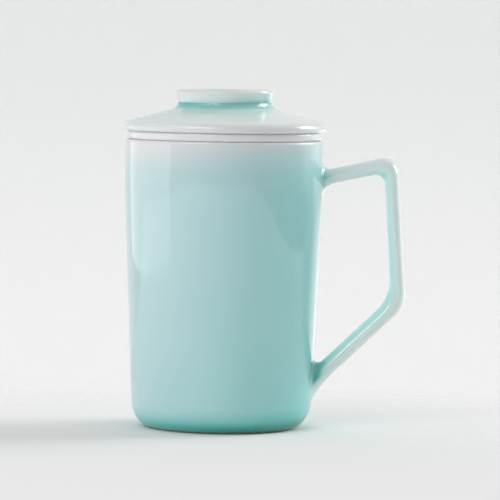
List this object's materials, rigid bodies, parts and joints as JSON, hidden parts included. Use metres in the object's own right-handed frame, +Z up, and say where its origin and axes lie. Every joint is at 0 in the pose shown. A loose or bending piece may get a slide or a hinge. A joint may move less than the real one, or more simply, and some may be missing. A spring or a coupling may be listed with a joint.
{
  "type": "tea cup with infuser",
  "caption": "Tall tapered porcelain tea cup with an angular handle, a drop-in perforated infuser basket and a lift-off lid with a ring knob.",
  "frame": {"origin": "on the cup's axis, on the plane of the foot ring that it rests on", "axes": "+Z up along the cup's axis, +X towards the handle"},
  "size_m": [0.1177, 0.084, 0.1397],
  "materials": {
    "celadon_glaze": "gloss",
    "pale_celadon_glaze": "gloss",
    "white_glaze": "gloss"
  },
  "bodies": {
    "cup": {"cup_body": "celadon_glaze", "handle": "celadon_glaze"},
    "infuser": {"infuser": "white_glaze"},
    "lid": {"lid": "pale_celadon_glaze", "lid_knob": "pale_celadon_glaze"}
  },
  "joints": [
    {"name": "infuser_lift", "type": "slide", "parent": "cup", "child": "infuser", "axis": [0, 0, 1], "range_m": [0, 0.09]},
    {"name": "lid_lift", "type": "slide", "parent": "infuser", "child": "lid", "axis": [0, 0, 1], "range_m": [0, 0.05]}
  ]
}
